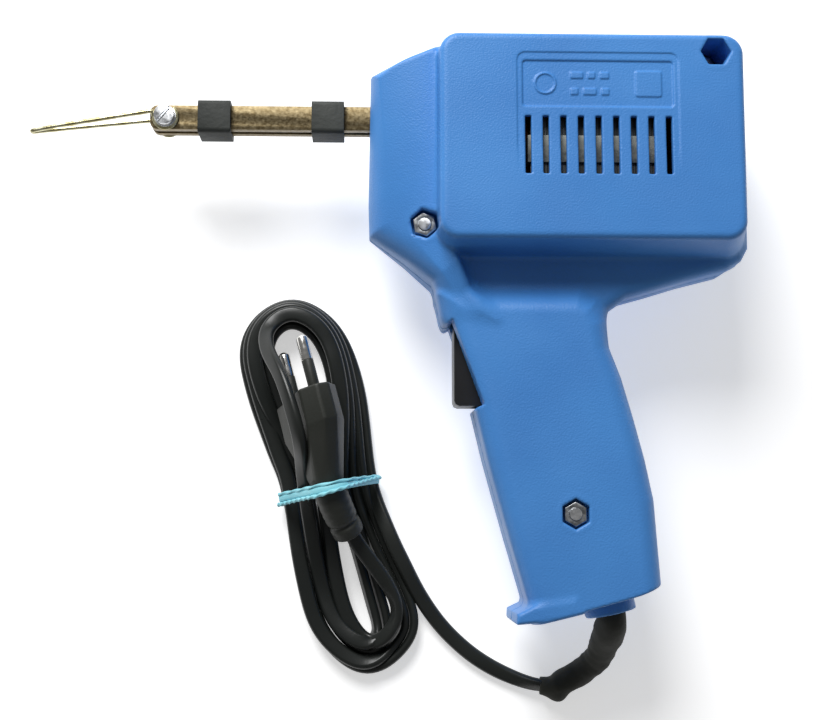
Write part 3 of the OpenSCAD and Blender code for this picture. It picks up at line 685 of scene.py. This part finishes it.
# Each finish: its two shades, roughness, size of grain or spots, and depth of grain
FINISHES = {
    "blue_shell": lambda: plastic(
        "blue_plastic", (0.056, 0.222, 0.58), (0.067, 0.257, 0.64), 0.42, 1700.0, 0.6),
    "zinc_steel": lambda: metal(
        "zinc_steel", (0.62, 0.64, 0.66), (0.85, 0.86, 0.88), 0.3, 300.0),
    "tarnished_copper": lambda: metal(
        "tarnished_copper", (0.135, 0.10, 0.05), (0.25, 0.20, 0.115), 0.42, 700.0, 0.5),
    "black_rubber": lambda: plastic(
        "charcoal_rubber", (0.018, 0.021, 0.019), (0.036, 0.040, 0.036), 0.65, 500.0, 1.0),
    "bend_rubber": lambda: plastic(
        "bend_rubber", (0.016, 0.017, 0.013), (0.03, 0.031, 0.024), 0.7, 420.0, 0.9),
    "pressboard": lambda: plastic(
        "pressboard", (0.33, 0.22, 0.12), (0.42, 0.3, 0.18), 0.8, 500.0, 0.4),
    "tinned_wire": lambda: metal(
        "tinned_wire", (0.45, 0.40, 0.20), (0.72, 0.70, 0.50), 0.3, 260.0),
    "core_steel": laminated_steel,
    "grey_steel": lambda: metal(
        "grey_steel", (0.26, 0.27, 0.28), (0.52, 0.53, 0.54), 0.34, 400.0),
    "dull_steel": lambda: metal(
        "dull_steel", (0.16, 0.17, 0.16), (0.26, 0.27, 0.25), 0.5, 300.0),
    "black_plastic": lambda: plastic(
        "black_plastic", (0.012, 0.012, 0.013), (0.02, 0.02, 0.021), 0.4, 1400.0, 0.2),
    "enamel_copper": lambda: metal(
        "enamelled_copper", (0.40, 0.13, 0.05), (0.55, 0.2, 0.08), 0.35, 300.0, 0.8,
        (1.0, 1.0, 8.0)),
    "brown_plastic": lambda: plastic(
        "brown_plastic", (0.09, 0.04, 0.02), (0.12, 0.055, 0.03), 0.4, 900.0, 0.2),
    "ivory_plastic": lambda: plastic(
        "ivory_plastic", (0.55, 0.5, 0.38), (0.62, 0.57, 0.45), 0.45, 900.0, 0.2),
    "contact_brass": lambda: metal(
        "contact_brass", (0.55, 0.38, 0.13), (0.7, 0.52, 0.22), 0.3, 260.0),
    "cord_pvc": lambda: plastic(
        "cord_pvc", (0.011, 0.013, 0.012), (0.018, 0.02, 0.018), 0.33, 900.0, 0.12),
    "plug_pvc": lambda: plastic(
        "plug_pvc", (0.022, 0.024, 0.020), (0.032, 0.034, 0.029), 0.5, 900.0, 0.25),
    "nickel_brass": lambda: metal(
        "nickel_plate", (0.62, 0.61, 0.58), (0.82, 0.81, 0.78), 0.2, 200.0),
    "turquoise_rubber": lambda: plastic(
        "turquoise_rubber", (0.20, 0.58, 0.68), (0.32, 0.72, 0.80), 0.5, 1100.0, 0.4),
}
# Which CAD nodes have each finish
SLOT_OF = {
    "blue_shell": ("shell_near", "shell_far"),
    "zinc_steel": ("case_bolts", "case_nuts", "clamp_screws", "clamp_washers", "trigger_pin",
                   "cord_clamp_screws", "core_straps", "switch_spring"),
    "tarnished_copper": ("secondary_loop",),
    "black_rubber": ("bar_sleeve_front", "bar_sleeve_rear", "bend_sleeve"),
    "pressboard": ("bar_spacer",),
    "tinned_wire": ("soldering_tip",),
    "core_steel": ("core_e_stack", "core_i_stack"),
    "black_plastic": ("trigger", "coil_bobbin", "cord_clamp"),
    "enamel_copper": ("primary_winding",),
    "brown_plastic": ("switch_body", "switch_cover"),
    "ivory_plastic": ("switch_plunger",),
    "contact_brass": ("moving_contact", "fixed_contacts"),
    "cord_pvc": ("cord_lead", "cord_hank", "cord_inner_end", "lead_wires"),
    "plug_pvc": ("plug_body", "pin_sleeves"),
    "nickel_brass": ("plug_pins",),
    "turquoise_rubber": ("rubber_band",),
}
# Pieces whose look differs from the rest of their slot
OWN_FINISH = {
    "core_straps": "dull_steel",
    "case_nuts": "grey_steel",
    "bend_sleeve": "bend_rubber",
}
materials = {}


def finish_of(slot):
    if slot not in materials:
        materials[slot] = FINISHES[slot]()
    return materials[slot]


def slot_of(node_name):
    return next(slot for slot, names in SLOT_OF.items() if node_name in names)


def paint_nodes():
    for name, obj in nodes.items():
        obj.data.materials.clear()
        obj.data.materials.append(finish_of(slot_of(name)))


def settle(piece, *replaced, slot=None, body="root"):
    """Paints a new piece, hangs it on its body and puts it in place of its CAD nodes."""
    slot = slot or slot_of(replaced[0])
    own = OWN_FINISH.get(replaced[0], slot) if replaced else slot
    piece.data.materials.clear()
    piece.data.materials.append(finish_of(own))
    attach(piece, body)
    if replaced:
        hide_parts(*replaced)
    return piece


# ---------------------------------------------------------------- hard parts with soft edges

# Edges that turn by more than this many degrees are rounded
PART_BEVEL_FROM = 35


def bevelled(piece, width, degrees):
    """Rounds the edges that turn by more than the given angle."""
    bevel = piece.modifiers.new("edges", "BEVEL")
    bevel.width = width * MM
    bevel.segments = 3
    bevel.limit_method = "ANGLE"
    bevel.angle_limit = math.radians(degrees)
    bevel.harden_normals = True


def softened(node_name, edge, body="root"):
    """A copy of a CAD part with rounded edges of the given radius."""
    mesh = nodes[node_name].data.copy()
    cleaner = bmesh.new()
    cleaner.from_mesh(mesh)
    bmesh.ops.remove_doubles(cleaner, verts=cleaner.verts, dist=1e-6)
    bmesh.ops.dissolve_limit(
        cleaner, angle_limit=math.radians(1.5), verts=cleaner.verts, edges=cleaner.edges)
    cleaner.to_mesh(mesh)
    cleaner.free()
    piece = linked("soft_" + node_name, mesh)
    smooth_shaded(mesh)
    bevelled(piece, edge, PART_BEVEL_FROM)
    return settle(piece, node_name, body=body)


def squash_spring():
    """The switch's return spring, as a smooth copy with a mesh of its own."""
    spring = linked("return_spring", nodes["switch_spring"].data.copy())
    smooth_shaded(spring.data)
    settle(spring, "switch_spring")
    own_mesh(spring)


# ---------------------------------------------------------------- swept pieces

def circle(count, rx, ry=None):
    """Points of a circle, or of an oval with two half axes."""
    ry = rx if ry is None else ry
    turns = [2 * math.pi * k / count for k in range(count)]
    return [(rx * math.cos(a), ry * math.sin(a)) for a in turns]


CURVE_PARTS = 24


def smooth_path(points, step):
    """Catmull-Rom curve through the points, in even steps. Extra columns are carried along."""
    points = np.asarray(points, float)
    padded = np.vstack([2 * points[0] - points[1], points, 2 * points[-1] - points[-2]])
    pieces = []
    for i in range(1, len(padded) - 2):
        p0, p1, p2, p3 = padded[i - 1:i + 3]
        t = np.linspace(0, 1, CURVE_PARTS, endpoint=False)[:, None]
        pieces.append(0.5 * (2 * p1 + (p2 - p0) * t + (2 * p0 - 5 * p1 + 4 * p2 - p3) * t ** 2
                             + (3 * p1 - p0 - 3 * p2 + p3) * t ** 3))
    dense = np.vstack(pieces + [points[-1:]])
    return even_steps(dense, step)


def run_along(path):
    """Distance from the path's start at each of its points."""
    lengths = np.linalg.norm(np.diff(path[:, :3], axis=0), axis=1)
    return np.concatenate([[0.0], np.cumsum(lengths)])


def even_steps(dense, step):
    """The same path with its points an even step apart."""
    run = run_along(dense)
    count = max(2, int(run[-1] / step) + 1)
    at = np.linspace(0, run[-1], count)
    return np.stack([np.interp(at, run, column) for column in dense.T], axis=1)


EASE_ROUNDS = 2


def eased(path, window):
    """The path with its kinks averaged out; its ends stay."""
    half = window // 2
    kernel = np.hanning(2 * half + 3)[1:-1]
    kernel /= kernel.sum()
    for _ in range(EASE_ROUNDS):
        padded = np.vstack([np.repeat(path[:1], half, 0), path, np.repeat(path[-1:], half, 0)])
        new = np.stack([np.convolve(c, kernel, "valid") for c in padded.T], axis=1)
        new[0], new[-1] = path[0], path[-1]
        path = new
    return path


def sweep(name, path, roll, ring, caps=True, reference=(0.0, 0.0, 1.0)):
    """Tube along path. ring(i) gives the section's points at ring i: across, then upwards."""
    along = np.gradient(path, axis=0)
    along /= np.linalg.norm(along, axis=1)[:, None]
    across = np.cross(along, reference)
    across /= np.linalg.norm(across, axis=1)[:, None]
    upward = np.cross(across, along)
    rings = []
    for i in range(len(path)):
        c, s = math.cos(roll[i]), math.sin(roll[i])
        u = across[i] * c + upward[i] * s
        v = upward[i] * c - across[i] * s
        section = np.asarray(ring(i))
        rings.append(path[i] + section[:, :1] * u + section[:, 1:] * v)
    n = len(rings[0])
    i, j = np.meshgrid(np.arange(len(path) - 1), np.arange(n), indexing="ij")
    i, j = i.ravel(), j.ravel()
    k = (j + 1) % n
    faces = [tuple(f) for f in np.stack(
        [i * n + j, i * n + k, (i + 1) * n + k, (i + 1) * n + j], axis=1).tolist()]
    if caps:
        faces.append(tuple(range(n - 1, -1, -1)))
        faces.append(tuple(range((len(path) - 1) * n, len(path) * n)))
    return mesh_object(name, np.vstack(rings), faces)


# ---------------------------------------------------------------- the cord
# A flat twin lead. Its route repeats the one in the CAD part as far as the hank.

CORD_W = 5.4
CORD_T = 3.1
# Share of its thickness that the lead loses between its two cores
CORD_WAIST = 0.16
CORD_STEP = 1.5
CORD_EASE = 7
TURNS = 5
# Places on the lead: x, y, z and tilt in degrees
LEAD = [
    (71.9, -82.5, 30, 0), (73.5, -90, 30, 0), (74.4, -94.3, 29.9, 10), (74.4, -98.8, 26.2, 20),
    (73.8, -103.6, 19.4, 30), (72.9, -108.2, 14, 40), (70.8, -111.6, 10.4, 48),
    (67.4, -114.6, 7.8, 52), (63, -117.4, 6.1, 54), (58.5, -119.6, 5.1, 54),
    (53.5, -119.6, 4.8, 50), (48.4, -118.5, 3.3, 40), (42.8, -116.4, 2.5, 24),
    (36.9, -113.6, 2.3, 8), (30.3, -109.4, 2.3, 0), (24.6, -104.6, 2.3, 0),
    (19.5, -99.4, 2.5, 0), (14.7, -93, 3.4, 0), (10.5, -86.2, 5.2, 0), (6.7, -78.6, 7.4, 0),
]
# The hank's outer line, anticlockwise from its lower right side
HANK_LINE = [
    (3.6, -66.0), (-3.0, -48.0), (-7.4, -15.5), (-16.0, 5.8), (-31.2, 15.8), (-45.5, 10.5),
    (-52.0, -2.4), (-49.0, -19.1), (-43.3, -35.0), (-40.2, -43.0), (-37.0, -51.0),
    (-31.4, -81.7), (-24.6, -102.8), (-8.8, -116.2), (6.4, -109.5), (11.9, -95.4),
]
# For each place on that line, three rows with a value for each of the five turns: how far
# in the turn lies, its height and its tilt
HANK_TURNS = [
    ((2.7, 5.6, 8.8, 12.0, 15.2), (8.0, 2.8, 2.8, 2.8, 2.8), (5, 84, 78, 74, 72)),
    ((2.4, 5.3, 8.5, 11.6, 14.8), (3.6, 4.4, 3.4, 3.4, 3.4), (35, 45, 62, 66, 66)),
    ((2.7, 5.2, 7.0, 8.6, 10.6), (1.9, 5.0, 8.1, 11.2, 4.6), (4, 8, 6, -4, -25)),
    ((2.7, 3.9, 5.2, 6.6, 8.9), (1.9, 5.0, 8.1, 11.2, 4.4), (4, 8, 6, -4, -25)),
    ((2.7, 3.4, 4.6, 6.4, 8.4), (1.9, 5.0, 8.1, 11.2, 4.4), (4, 8, 6, -4, -25)),
    ((2.7, 3.6, 4.9, 7.4, 8.9), (1.9, 5.0, 8.1, 11.2, 4.4), (4, 8, 6, -6, -25)),
    ((2.7, 4.1, 5.8, 11.0, 10.0), (1.9, 5.0, 8.1, 19.0, 5.0), (4, 8, 6, -25, -20)),
    ((2.7, 4.3, 6.0, 14.3, 9.6), (1.9, 5.0, 7.8, 29.0, 5.4), (4, 8, 6, -42, -10)),
    ((2.7, 4.0, 7.4, 13.9, 10.4), (1.9, 4.9, 4.2, 33.0, 5.0), (2, 6, 3, -42, -5)),
    ((2.7, 3.7, 8.0, 12.5, 12.4), (1.9, 4.9, 3.0, 30.0, 4.8), (1, 5, 2, -42, -2)),
    ((2.7, 3.4, 8.6, 9.3, 14.4), (1.9, 5.0, 2.0, 19.5, 4.6), (0, 4, 0, -40, 0)),
    ((3.4, 2.8, 9.4, 8.4, 14.0), (1.9, 5.1, 1.9, 5.1, 4.6), (0, 4, 0, 4, 0)),
    ((3.2, 3.0, 8.8, 8.9, 13.4), (1.9, 5.1, 1.9, 5.2, 4.8), (0, 12, 0, 8, 0)),
    ((3.0, 4.4, 8.9, 11.0, 11.6), (1.9, 5.1, 1.9, 7.0, 4.8), (8, 24, 0, 10, 0)),
    ((1.8, 5.0, 8.4, 12.0, 9.2), (2.9, 3.0, 2.9, 3.4, 7.6), (80, 75, 90, 90, 30)),
    ((1.7, 4.9, 11.6, 15.4, 7.6), (2.8, 2.8, 2.8, 2.8, 8.4), (88, 82, 74, 72, 60)),
]
# From the last turn up to the plug's neck
LAST_RUN = [
    (3.4, -89.5, 9.6, 50), (-1.0, -82.0, 11.2, 20), (-6.0, -75.4, 13.2, 5),
    (-10.4, -69.4, 15.4, 0), (-13.6, -63.5, 18.6, 0),
]


def hank_points():
    """Points of the five turns, with heights and tilts, from lanes beside the outer line."""
    line_points = np.array(HANK_LINE, float)
    ahead = np.roll(line_points, -1, axis=0) - np.roll(line_points, 1, axis=0)
    ahead /= np.linalg.norm(ahead, axis=1)[:, None]
    inward = np.stack([-ahead[:, 1], ahead[:, 0]], axis=1)
    points = []
    for turn in range(TURNS):
        for at, side, (inset, height, tilt) in zip(line_points, inward, HANK_TURNS):
            place = at + side * inset[turn]
            points.append((place[0], place[1], height[turn], tilt[turn]))
    return points


def flat_section():
    """Outline of the flat lead: two round cores side by side with a shallow waist."""
    r = CORD_T / 2
    reach = CORD_W / 2 - r
    points = []
    for u, v in circle(24, r):
        u += reach * np.sign(round(u / r, 6))
        waist = CORD_WAIST * max(0.0, 1.0 - (abs(u) / reach) ** 2)
        points.append((u, v * (1.0 - waist)))
    return points


def make_cord():
    """The whole lead as one sweep, and its centre line."""
    points = LEAD + hank_points() + LAST_RUN
    route = eased(smooth_path(points, CORD_STEP), CORD_EASE)
    section = flat_section()
    cord = sweep("flat_cord", route[:, :3], np.radians(route[:, 3]), lambda i: section)
    settle(cord, "cord_lead", "cord_hank", slot="cord_pvc")
    return cord, route[:, :3]


# ---------------------------------------------------------------- bend sleeve

# The sleeve covers this many of the lead's places
SLEEVED = 11
SLEEVE_STEP = 0.6
SLEEVE_EASE = 5
# Along the sleeved part of the lead: distance, half width, half height
SLEEVE_FORM = [
    (0, 4.5, 4.5), (9, 4.6, 4.5), (13, 5.0, 4.7), (17, 5.5, 4.8), (22, 5.3, 4.8),
    (28, 4.8, 4.6), (33, 4.6, 4.5), (40, 4.5, 4.4), (48, 4.4, 4.3), (52, 4.0, 4.2),
    (55, 3.3, 3.2), (57.6, 2.9, 2.3),
]
# One kink near the end and fine folds about the middle: place, reach along and height
KINK = (52.5, 2.2, 1.9)
FOLDS = (34.0, 9.0, 0.10)
SMOOTH_START = 14.0


def swell(place, middle, reach, height):
    """A bell-shaped rise about the middle."""
    return height * math.exp(-((place - middle) / reach) ** 2)


def sleeve_growth(place, a):
    """How far the shrunk sleeve stands out at a place along it and an angle round it."""
    folds = math.sin(1.7 * place + 2.0 * math.sin(a)) * swell(place, *FOLDS)
    dents = 0.12 * math.sin(0.55 * place + 3 * a) + 0.08 * math.sin(0.9 * place - 2 * a)
    outer_side = max(0.0, -math.cos(a)) ** 4
    return folds + dents * min(1.0, place / SMOOTH_START) + swell(place, *KINK) * outer_side


def make_bend_sleeve():
    """Heat-shrunk sleeve over the lead where it leaves the grip."""
    path = eased(smooth_path([p[:3] for p in LEAD[:SLEEVED]], SLEEVE_STEP), SLEEVE_EASE)
    form = np.array(SLEEVE_FORM)
    run = run_along(path)
    places = run * form[-1, 0] / run[-1]
    half_w = np.interp(places, form[:, 0], form[:, 1])
    half_h = np.interp(places, form[:, 0], form[:, 2])

    def ring(i):
        points = []
        for c, s in circle(40, 1.0):
            grow = sleeve_growth(places[i], math.atan2(s, c))
            points.append(((half_w[i] + grow) * c, (half_h[i] + 0.4 * grow) * s))
        return points

    sleeve = sweep("heat_shrunk_sleeve", path, np.zeros(len(path)), ring)
    settle(sleeve, "bend_sleeve")


# ---------------------------------------------------------------- plug

PLUG_AT = Vector((-27.6, -20.8, 20.0))
PLUG_TURN = (
    Matrix.Rotation(math.radians(15), 4, "Z")
    @ Matrix.Rotation(math.radians(-7.5), 4, "X")
    @ Matrix.Rotation(math.radians(25), 4, "Y"))
PLUG_PLACE = Matrix.Translation(PLUG_AT) @ PLUG_TURN
# The plug's front is an octagonal block from its face back: half sizes of its flat sides
PLUG_FRONT_L = 12
PLUG_BROAD = (6.8, 11.4)
PLUG_NARROW = (2.2, 16.4)
PLUG_BACK_R = 5.3
PLUG_L = 32
PLUG_EDGE = 0.9
PLUG_BEVEL_FROM = 30

# The neck: its centre line and radius, and where its groove, ribs and dome lie, as shares
# of its length
NECK = [(-20.6, -48, 23.8), (-18.2, -54.5, 23.4), (-15.2, -61.5, 20.4), (-12.1, -67.6, 16.4)]
NECK_STEP = 0.35
NECK_R = 5.7
NECK_TAPER = 0.3
NECK_GROOVE = (0.74, 0.035, 0.9)
NECK_RIBS = 9
NECK_RIB_H = 0.05
NECK_RIBS_TO = 0.66
NECK_DOME_FROM = 0.93
NECK_DOME_L = 0.075


def hull_object(name, points):
    """Smallest solid round the points."""
    maker = bmesh.new()
    for point in points:
        maker.verts.new(Vector(point) * MM)
    made = bmesh.ops.convex_hull(maker, input=maker.verts)
    loose = set(made["geom_interior"]) | set(made["geom_unused"])
    bmesh.ops.delete(maker, geom=list(loose), context="VERTS")
    bmesh.ops.dissolve_limit(
        maker, angle_limit=math.radians(2), verts=maker.verts, edges=maker.edges)
    mesh = bpy.data.meshes.new(name)
    maker.to_mesh(mesh)
    maker.free()
    smooth_shaded(mesh)
    return linked(name, mesh)


def make_plug_body():
    """Moulded body: an octagonal front that tapers to the round neck."""
    points = []
    for y in (0, -PLUG_FRONT_L):
        for half_x, half_z in (PLUG_BROAD, PLUG_NARROW):
            points += [(x, y, z) for x in (-half_x, half_x) for z in (-half_z, half_z)]
    points += [(x, -PLUG_L, z) for x, z in circle(16, PLUG_BACK_R)]
    body = hull_object("plug_body_soft", [PLUG_PLACE @ Vector(p) for p in points])
    bevelled(body, PLUG_EDGE, PLUG_BEVEL_FROM)
    return settle(body, "plug_body")


def neck_radius(t):
    """Radius at a share t of the neck: fine ribs, one groove and a domed end."""
    r = NECK_R - NECK_TAPER * t - swell(t, *NECK_GROOVE)
    if t < NECK_RIBS_TO:
        r += NECK_RIB_H * math.cos(2 * math.pi * t * NECK_RIBS)
    if t > NECK_DOME_FROM:
        r *= math.sqrt(max(0.05, 1 - ((t - NECK_DOME_FROM) / NECK_DOME_L) ** 2))
    return r


def make_plug_neck():
    """Rubber neck that joins the plug and the lead, swept along a bent centre line."""
    path = smooth_path(NECK, NECK_STEP)
    shares = np.linspace(0, 1, len(path))
    neck = sweep("plug_neck", path, np.zeros(len(path)),
                 lambda i: circle(32, neck_radius(shares[i])))
    return settle(neck, slot="plug_pvc")


# ---------------------------------------------------------------- rubber band

BAND_AT = (-19.6, -52.4)
BAND_TURN = math.radians(11)
BAND_HALF_SPAN = 19.0
BAND_STEP = 0.5
# Circles that the band is stretched round: across, up and radius
BAND_ROUNDS = ((-12, 5.9, 5.9), (12, 5.9, 5.9), (0.7, 23.4, 8))
# Each pass: place along the hank, how much it slants, half width, half thickness, number
# of twists, and how far it lies outside the circles
BAND_PASSES = (
    (1.7, 0.0, 0.65, 0.42, 7, -0.45),
    (0.1, 0.0, 1.15, 0.36, 0, -0.45),
    (-1.7, 2.6, 0.75, 0.5, 16, 0.25),
)


def band_loop(grow):
    """Closed line round the hank and the plug, in the band's plane: across, then up."""
    points = sorted({
        (cx + u, cz + v) for cx, cz, r in BAND_ROUNDS for u, v in circle(48, r + grow)})

    def half(items):
        """One side of the hull of sorted points."""
        chain = []
        for p in items:
            while len(chain) > 1 and np.cross(
                    np.subtract(chain[-1], chain[-2]), np.subtract(p, chain[-1])) <= 0:
                chain.pop()
            chain.append(p)
        return chain[:-1]

    hull = half(points) + half(points[::-1])
    return np.array(hull + hull[:1])


def make_band():
    """Three passes of one thin rubber band; the last is twisted and crosses the others."""
    axis = np.array([-math.sin(BAND_TURN), math.cos(BAND_TURN), 0.0])
    side = np.array([math.cos(BAND_TURN), math.sin(BAND_TURN), 0.0])
    upward = np.array([0.0, 0.0, 1.0])
    centre = np.array([*BAND_AT, 0.0])
    passes = []
    for number, (offset, slant, half_w, half_t, twists, grow) in enumerate(BAND_PASSES):
        flat = band_loop(grow)
        loop = even_steps(np.column_stack([flat, np.zeros(len(flat))]), BAND_STEP)[:, :2]
        loop[:, 1] = np.maximum(loop[:, 1], half_w + 0.05)
        share = np.linspace(0, 1, len(loop))
        rise = np.clip(loop[:, 0] / BAND_HALF_SPAN * 0.9 + 0.2, 0, 1)
        shift = offset + slant * rise + 0.12 * np.sin(14 * share + number)
        path = centre + loop[:, :1] * side + loop[:, 1:] * upward + shift[:, None] * axis
        section = circle(12, half_t, half_w)
        passes.append(sweep(
            f"band_pass_{number}", path, 2 * math.pi * twists * share, lambda i: section,
            caps=False, reference=tuple(axis)))
    settle(passes[0], "rubber_band")
    for piece in passes[1:]:
        settle(piece, slot="turquoise_rubber")
    return passes


# ---------------------------------------------------------------- tip wire

CLAMP = (-74.8, 72.5)
TIP_END = (-121.0, 68.4)
WIRE_R = 0.75
TIP_STEP = 0.4
# The ring under a screw: radius, height over the parting plane, pressed half sizes
RING_R = 3.6
RING_Z = 4.75
RING_PRESSED = (0.95, 0.5)
RING_TURNS = range(410, 176, -8)


def make_tip():
    """One wire from the ring under the near screw, round the tip, to the far ring."""
    half = []
    for degrees in RING_TURNS:
        a = math.radians(degrees)
        half.append((CLAMP[0] + RING_R * math.cos(a),
                     CLAMP[1] + RING_R * math.sin(a), RING_Z))
    half += [(-78.75, 73.4, 5.0), (-79.4, 74.1, 5.2), (-80.6, 74.1, 5.2), (-84, 73.6, 4.9),
             (-100, 71.4, 3.2), (-112, 69.7, 1.9), (TIP_END[0] + 2.2, 68.6, 0.95),
             (TIP_END[0] + 0.9, 68.4, 0.6)]
    route = [(x, y, PART_Z + z) for x, y, z in half]
    route += [(TIP_END[0] + WIRE_R, TIP_END[1], PART_Z)]
    route += [(x, y, PART_Z - z) for x, y, z in half[::-1]]
    path = smooth_path(route, TIP_STEP)
    to_clamp = np.hypot(path[:, 0] - CLAMP[0], path[:, 1] - CLAMP[1])
    in_ring = to_clamp < RING_R + 0.5

    def section(i):
        return circle(14, *(RING_PRESSED if in_ring[i] else (WIRE_R, WIRE_R)))

    tip = sweep("tip_wire", path, np.zeros(len(path)), section)
    settle(tip, "soldering_tip")


# ---------------------------------------------------------------- the object

SHELLS = (("near_shell", "shell_near", True), ("far_shell", "shell_far", False))
# CAD parts shown with soft edges, and the radius of those edges
SOFT_PLUG_PARTS = (("plug_pins", 0.4), ("pin_sleeves", 0.12))
SOFT_PARTS = (
    ("secondary_loop", 0.45), ("bar_sleeve_front", 0.5), ("bar_sleeve_rear", 0.5),
    ("clamp_washers", 0.15), ("clamp_screws", 0.2), ("case_nuts", 0.3), ("case_bolts", 0.2),
    ("core_straps", 0.2),
)
TRIGGER_EDGE = 0.6

make_camera()
make_world()
make_key_light()
make_table()
paint_nodes()
cord, cord_route = make_cord()
plug_pieces = [make_plug_body(), make_plug_neck()]
band_pieces = make_band()
for part, edge in SOFT_PLUG_PARTS:
    plug_pieces.append(softened(part, edge))
make_bend_sleeve()
make_tip()
for shell_name, node_name, is_near in SHELLS:
    settle(make_shell(shell_name, is_near), node_name)
for part, edge in SOFT_PARTS:
    softened(part, edge)
softened("trigger", TRIGGER_EDGE, body="trigger")
squash_spring()
